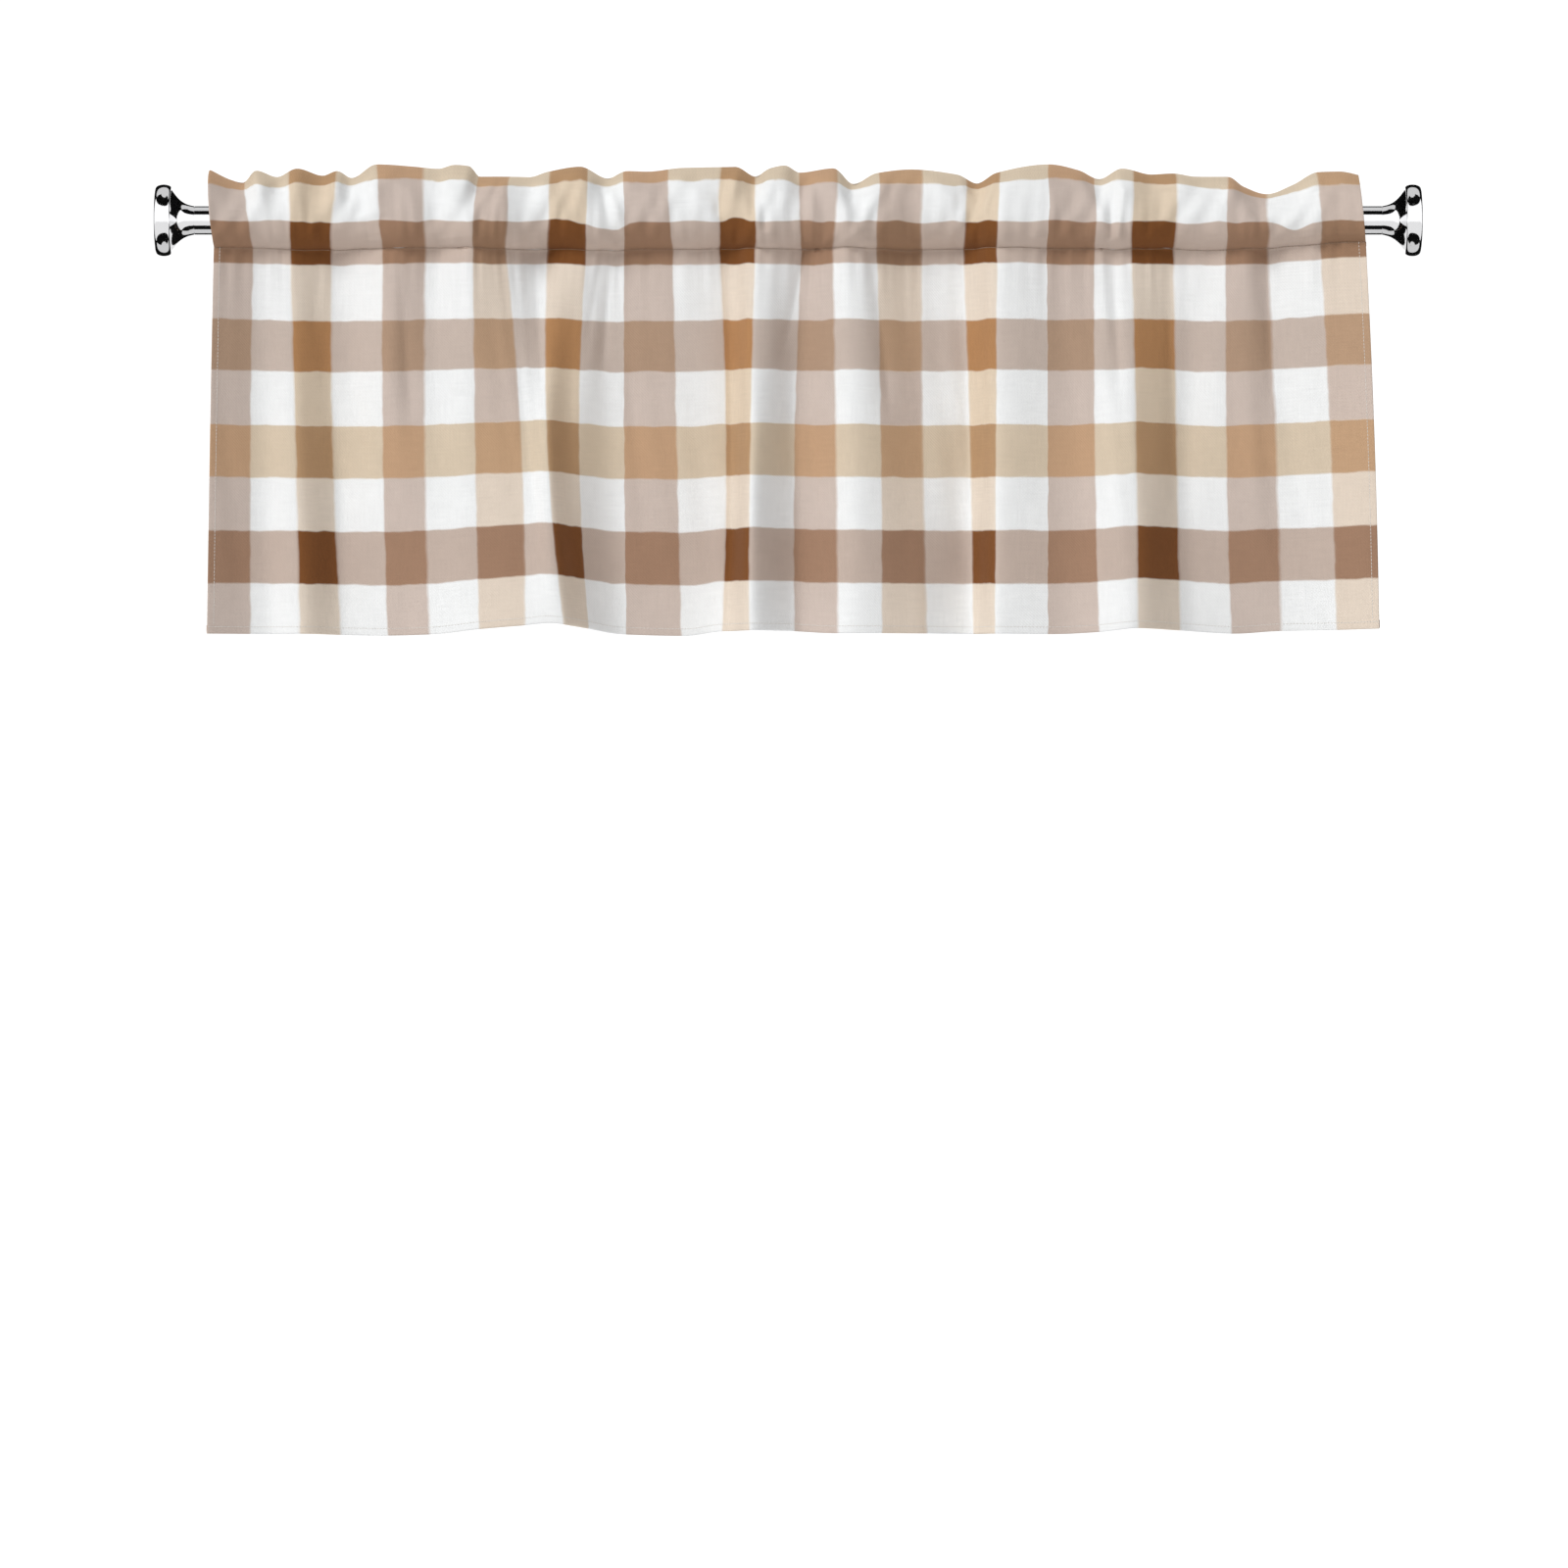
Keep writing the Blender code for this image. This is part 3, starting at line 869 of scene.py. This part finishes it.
def checked_cloth(name, paler):
    """The printed check on the cloth's own map, its dye slightly uneven, on a plain weave that shows."""
    nodes = Nodes(name)
    check_map = nodes.add("ShaderNodeUVMap", uv_map="check").outputs[0]
    sway = nodes.add("ShaderNodeTexNoise", {"Vector": check_map, "Scale": 2.3, "Detail": 3.0})
    wander = nodes.add(
        "ShaderNodeVectorMath", {0: sway.outputs["Color"], 1: (0.5, 0.5, 0.5)}, operation="SUBTRACT"
    )
    swayed = nodes.add(
        "ShaderNodeVectorMath",
        {0: wander.outputs[0], 1: (0.07, 0.07, 0.0), 2: check_map},
        operation="MULTIPLY_ADD",
    )
    place = nodes.add("ShaderNodeSeparateXYZ", {0: swayed.outputs[0]})
    column = nodes.math("FRACT", nodes.math("DIVIDE", place.outputs[0], float(len(COLUMN_DYES))))
    down = nodes.math("MULTIPLY", place.outputs[1], -1.0)
    row = nodes.math("ADD", down, 2.0)
    row = nodes.math("FLOORED_MODULO", row, 12.0)

    charts = {}
    for number in range(12):
        kind = ROW_DYES[(number - 2) % 10] if number >= 2 else ("umber", "white")[number]
        charts.setdefault(kind, []).append(number)
    colour = dye_ramp(nodes, column, DYES["white"], paler)
    for kind, numbers in charts.items():
        if kind == "white":
            continue
        ramp = dye_ramp(nodes, column, DYES[kind], paler)
        mask = row_mask(nodes, row, numbers[0])
        for number in numbers[1:]:
            mask = nodes.math("MAXIMUM", mask, row_mask(nodes, row, number))
        colour = nodes.mix(mask, colour, ramp)

    threads = nodes.add("ShaderNodeVectorMath", {0: check_map, 1: (53.5, 52.3, 0.0)}, operation="MULTIPLY")
    thread_place = nodes.add("ShaderNodeSeparateXYZ", {0: threads.outputs[0]})
    pitch = 2 * math.pi / 2.9
    warp = nodes.math("SINE", nodes.math("MULTIPLY", thread_place.outputs[0], pitch))
    weft = nodes.math("SINE", nodes.math("MULTIPLY", thread_place.outputs[1], pitch))
    weave = nodes.math("MULTIPLY", warp, weft)
    slubs = []
    for stretch in ((2.0, 34.0, 1.0), (34.0, 2.0, 1.0)):
        stretched = nodes.add("ShaderNodeMapping", {0: check_map, 3: stretch})
        slubs.append(
            nodes.add("ShaderNodeTexNoise", {"Vector": stretched.outputs[0], "Detail": 2.0, "Scale": 1.0})
        )
    slub = nodes.math("ADD", slubs[0].outputs[0], slubs[1].outputs[0])
    blotch = nodes.add("ShaderNodeTexNoise", {"Vector": check_map, "Scale": 1.7, "Detail": 5.0, "Roughness": 0.6})
    tone = nodes.math("MULTIPLY_ADD", slub, 0.13, 0.87)
    tone = nodes.math("MULTIPLY_ADD", weave, 0.038, tone)
    tone = nodes.math("MULTIPLY_ADD", blotch.outputs[0], 0.07, nodes.math("SUBTRACT", tone, 0.035))
    toned = nodes.add("ShaderNodeVectorMath", {0: colour, "Scale": tone}, operation="SCALE")
    relief = nodes.math("MULTIPLY_ADD", slub, 0.55, nodes.math("MULTIPLY", weave, 0.3))
    bump = nodes.add("ShaderNodeBump", {"Height": relief, "Distance": 0.25 * MM, "Strength": 0.6})
    nodes.to_shader(Base_Color=toned.outputs[0], Normal=bump.outputs[0])
    nodes.shader.inputs["Roughness"].default_value = 0.88
    nodes.shader.inputs["Specular IOR Level"].default_value = 0.12
    nodes.shader.inputs["Sheen Weight"].default_value = 0.04
    nodes.shader.inputs["Sheen Roughness"].default_value = 0.5
    return nodes.material


def sewing_thread(name, dark, light):
    """Spun thread: two-ply twist as a fine slanting wave in tone and relief."""
    nodes = Nodes(name)
    place = nodes.add("ShaderNodeTexCoord").outputs["Object"]
    twist = nodes.add(
        "ShaderNodeTexWave",
        {"Vector": place, "Scale": 900.0, "Distortion": 1.5},
        bands_direction="DIAGONAL",
    )
    tone = nodes.mix(twist.outputs["Fac"], dye(dark), dye(light))
    bump = nodes.add(
        "ShaderNodeBump", {"Height": twist.outputs["Fac"], "Distance": 0.06 * MM, "Strength": 0.6}
    )
    nodes.to_shader(Base_Color=tone, Normal=bump.outputs[0])
    nodes.shader.inputs["Roughness"].default_value = 0.7
    nodes.shader.inputs["Sheen Weight"].default_value = 0.15
    return nodes.material


def polished_chrome():
    """Bright plating: very slight waviness, and fine handling marks that only change its roughness."""
    nodes = Nodes("polished_chrome")
    place = nodes.add("ShaderNodeTexCoord").outputs["Object"]
    marks = nodes.add("ShaderNodeTexNoise", {"Vector": place, "Scale": 260.0, "Detail": 6.0, "Roughness": 0.7})
    rough = nodes.add("ShaderNodeMapRange", {0: marks.outputs[0], 1: 0.35, 2: 0.75, 3: 0.045, 4: 0.11})
    ripple = nodes.add("ShaderNodeTexNoise", {"Vector": place, "Scale": 45.0, "Detail": 1.0})
    bump = nodes.add(
        "ShaderNodeBump", {"Height": ripple.outputs[0], "Distance": 0.05 * MM, "Strength": 0.35}
    )
    nodes.to_shader(Roughness=rough.outputs[0], Normal=bump.outputs[0])
    nodes.shader.inputs["Base Color"].default_value = (0.90, 0.90, 0.91, 1.0)
    nodes.shader.inputs["Metallic"].default_value = 1.0
    return nodes.material


# Pieces
face_material = checked_cloth("printed_check", 0.0)
reverse_material = checked_cloth("printed_check_reverse", 0.42)
cloth = make_cloth(face_material, reverse_material)
cloth.visible_glossy = False

seam_thread = sewing_thread("seam_thread", *SEAM_THREAD)
thread = sewing_thread("hem_thread", *HEM_THREAD)
HALF_CLOTH = CLOTH_THICKNESS / 2


def along_run(drop, first=0.0, last=FLAT_WIDTH):
    starts, ends = stitch_ends(last - first)
    return tuple(np.stack([first + at, np.full_like(at, drop)], axis=1) for at in (starts, ends))


def down_side(flat, last=SKIRT_LENGTH):
    starts, ends = stitch_ends(last)
    return tuple(np.stack([np.full_like(at, flat), at / SKIRT_LENGTH], axis=1) for at in (starts, ends))


hem_drop = 1 - HEM_STITCH / SKIRT_LENGTH
back_of_hem = -(2 * HEM_ROLL + HALF_CLOTH)
back_of_side = -(2 * SIDE_ROLL + HALF_CLOTH)
stitching = [
    make_stitches("seam_stitches", *along_run(0.003), HALF_CLOTH, seam_thread),
    make_stitches("seam_stitches_back", *along_run(0.006), -(SEAM_GAP + HALF_CLOTH), seam_thread),
    make_stitches("hem_stitches", *along_run(hem_drop), HALF_CLOTH, thread),
    make_stitches("hem_stitches_back", *along_run(hem_drop), back_of_hem, thread),
]
for edge, flat in (("left", SIDE_STITCH), ("right", FLAT_WIDTH - SIDE_STITCH)):
    run = down_side(flat, SKIRT_LENGTH - 8 * MM)
    stitching.append(make_stitches(f"{edge}_side_stitches", *run, HALF_CLOTH, thread))
    stitching.append(make_stitches(f"{edge}_side_stitches_back", *run, back_of_side, thread))

chrome = polished_chrome()
tube_half = ROD_END_TO_END / 2 - FINIAL_LENGTH - FIT_GAP
tube_inner = ROD_RADIUS - ROD_WALL
tube_ends = np.array([-1.0, -0.999, 0.999, 1.0]) * tube_half
tube_profile = [(along, ROD_RADIUS) for along in tube_ends]
tube_profile += [(along, tube_inner) for along in tube_ends[::-1]]
tube_profile.append(tube_profile[0])
tube = make_turned("chromed_tube", tube_profile, chrome)


def finial_profile():
    """Distances in from the outer end and radii: domed face, half-ellipse rim, trumpet neck and spigot.

    The dome's drop is a square, the rim's crown a half ellipse, and the neck's flare a cubic of the way left.
    """
    share = np.linspace(0, 1, 17)
    face_radius = FACE_FLAT_RADIUS + (FACE_RADIUS - FACE_FLAT_RADIUS) * share
    face = np.stack([FACE_DOME * share**2, face_radius], axis=1)
    angle = np.linspace(0, np.pi, 33)[1:]
    rim = np.stack(
        [FACE_DOME + RIM_WIDTH * (1 - np.cos(angle)) / 2, FACE_RADIUS + RIM_CROWN * np.sin(angle)],
        axis=1,
    )
    share = np.linspace(0, 1, 33)[1:]
    flare = NECK_FLARE * (1 - share) ** 3 + (1 - NECK_FLARE) * (1 - share)
    neck = np.stack(
        [
            FACE_DOME + RIM_WIDTH + NECK_LENGTH * share,
            ROD_RADIUS + (FACE_RADIUS - ROD_RADIUS) * flare,
        ],
        axis=1,
    )
    spigot_end = FINIAL_LENGTH + SPIGOT_LENGTH
    plug = np.array([(FINIAL_LENGTH, SPIGOT_RADIUS), (spigot_end, SPIGOT_RADIUS), (spigot_end, 0.0001)])
    return np.concatenate([[(0.0, 0.0001)], face, rim, neck, plug])


def make_finial(name, side):
    profile = finial_profile()
    along = side * (ROD_END_TO_END / 2 - profile[:, 0])
    finial = make_turned(name, np.stack([along, profile[:, 1]], axis=1), chrome)
    bevel = finial.modifiers.new("soft edges", "WEIGHTED_NORMAL")
    bevel.keep_sharp = True
    return finial


finials = [make_finial("left_finial", -1), make_finial("right_finial", 1)]
for turned in (tube, *finials):
    mesh = turned.data
    work = bmesh.new()
    work.from_mesh(mesh)
    bmesh.ops.remove_doubles(work, verts=work.verts, dist=0.00001)
    bmesh.ops.holes_fill(work, edges=work.edges)
    bmesh.ops.recalc_face_normals(work, faces=work.faces)
    work.to_mesh(mesh)
    work.free()
    mesh.set_sharp_from_angle(angle=math.radians(50))

# On the frame
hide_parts("valance")
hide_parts("rod_tube")
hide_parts("finial_left")
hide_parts("finial_right")
for piece in (cloth, tube, *finials, *stitching):
    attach(piece, "root")

# Studio
CAMERA_DISTANCE = 8.0
PHOTO_WIDTH = 1.536


def plain_material(name, colour, glow=0.0):
    material = bpy.data.materials.new(name)
    material.use_nodes = True
    shader = material.node_tree.nodes["Principled BSDF"]
    shader.inputs["Base Color"].default_value = (*colour, 1.0)
    shader.inputs["Roughness"].default_value = 0.9
    shader.inputs["Specular IOR Level"].default_value = 0.0
    if glow:
        shader.inputs["Emission Color"].default_value = (1, 1, 1, 1)
        shader.inputs["Emission Strength"].default_value = glow
    return material


def sky_band(name, low, high, first, last, material, radius=5.0):
    """Part of a sphere round the rod between two heights and two bearings, seen only in the chrome."""
    height = np.radians(np.linspace(low, high, 9))[:, None]
    bearing = np.radians(np.linspace(first, last, 49))[None, :]
    points = radius * np.stack(
        [
            np.cos(height) * np.sin(bearing),
            -np.cos(height) * np.cos(bearing),
            np.sin(height) + 0 * bearing,
        ],
        axis=-1,
    )
    band = make_mesh(name, points, grid_faces(9, 49))
    band.data.materials.append(material)
    band.visible_camera = False
    band.visible_diffuse = False
    band.visible_transmission = False
    band.visible_volume_scatter = False
    band.visible_shadow = False


FLOOR_HALF = 44.0
FLOOR_LEVEL = -6.0
floor = make_mesh(
    "studio_floor",
    np.array([(-1, -1, 1), (1, -1, 1), (1, 1, 1), (-1, 1, 1)]) * (FLOOR_HALF, FLOOR_HALF, FLOOR_LEVEL),
    np.array([(0, 1, 2, 3)]),
)
floor.data.materials.append(plain_material("studio_floor", (0.92, 0.92, 0.92)))
black = plain_material("black_flag", (0.005, 0.005, 0.005))
grey = plain_material("grey_flag", (0.0, 0.0, 0.0), glow=0.66)
sky_band("flag_front_high", 44, 76, -90, 90, black)
sky_band("flag_front_low", -76, -44, -90, 90, black)
sky_band("flag_back_high", 14, 50, 90, 270, black)
sky_band("flag_back_low", -50, -14, 90, 270, black)
sky_band("flag_right", -44, 44, 92, 128, black, radius=4.9)
sky_band("flag_left", -44, 44, -128, -92, black, radius=4.9)
sky_band("grey_front_high", 76, 90, -90, 90, grey)
sky_band("grey_front_low", -90, -76, -90, 90, grey)
sky_band("grey_back_high", 50, 90, 90, 270, grey)
sky_band("grey_back_low", -90, -50, 90, 270, grey)

world = bpy.data.worlds.new("studio")
scene.world = world
world.use_nodes = True
air = world.node_tree
ray = air.nodes.new("ShaderNodeLightPath")
strength = air.nodes.new("ShaderNodeMapRange")
strength.inputs[3].default_value = 1.12
strength.inputs[4].default_value = 0.35
air.links.new(ray.outputs["Is Diffuse Ray"], strength.inputs[0])
air.nodes["Background"].inputs[0].default_value = (1, 1, 1, 1)
air.links.new(strength.outputs[0], air.nodes["Background"].inputs[1])



def soft_sun(name, bearing, climb, energy, spread):
    """A broad distant light. bearing is to the right of the viewer and climb above the horizon, in degrees."""
    sun = bpy.data.lights.new(name, "SUN")
    sun.energy = energy
    sun.angle = math.radians(spread)
    lamp = bpy.data.objects.new(name, sun)
    lamp.visible_glossy = False
    aside, up = math.radians(bearing), math.radians(climb)
    towards = Vector((math.cos(up) * math.sin(aside), -math.cos(up) * math.cos(aside), math.sin(up)))
    lamp.rotation_euler = towards.to_track_quat("Z", "Y").to_euler()
    scene.collection.objects.link(lamp)


soft_sun("soft_key", -42, 36, 1.85, 22)
soft_sun("soft_back_fill", 150, 35, 1.2, 40)

lens = bpy.data.cameras.new("photo_camera")
lens.sensor_width = 36.0
lens.lens = 36.0 * CAMERA_DISTANCE / PHOTO_WIDTH
lens.clip_start, lens.clip_end = 0.1, 200.0
camera = bpy.data.objects.new("photo_camera", lens)
camera.location = (-0.0041, -CAMERA_DISTANCE, -0.552)
camera.rotation_euler = (math.pi / 2, 0, 0)
scene.collection.objects.link(camera)
scene.camera = camera
scene.view_settings.view_transform = "Standard"
scene.view_settings.look = "None"
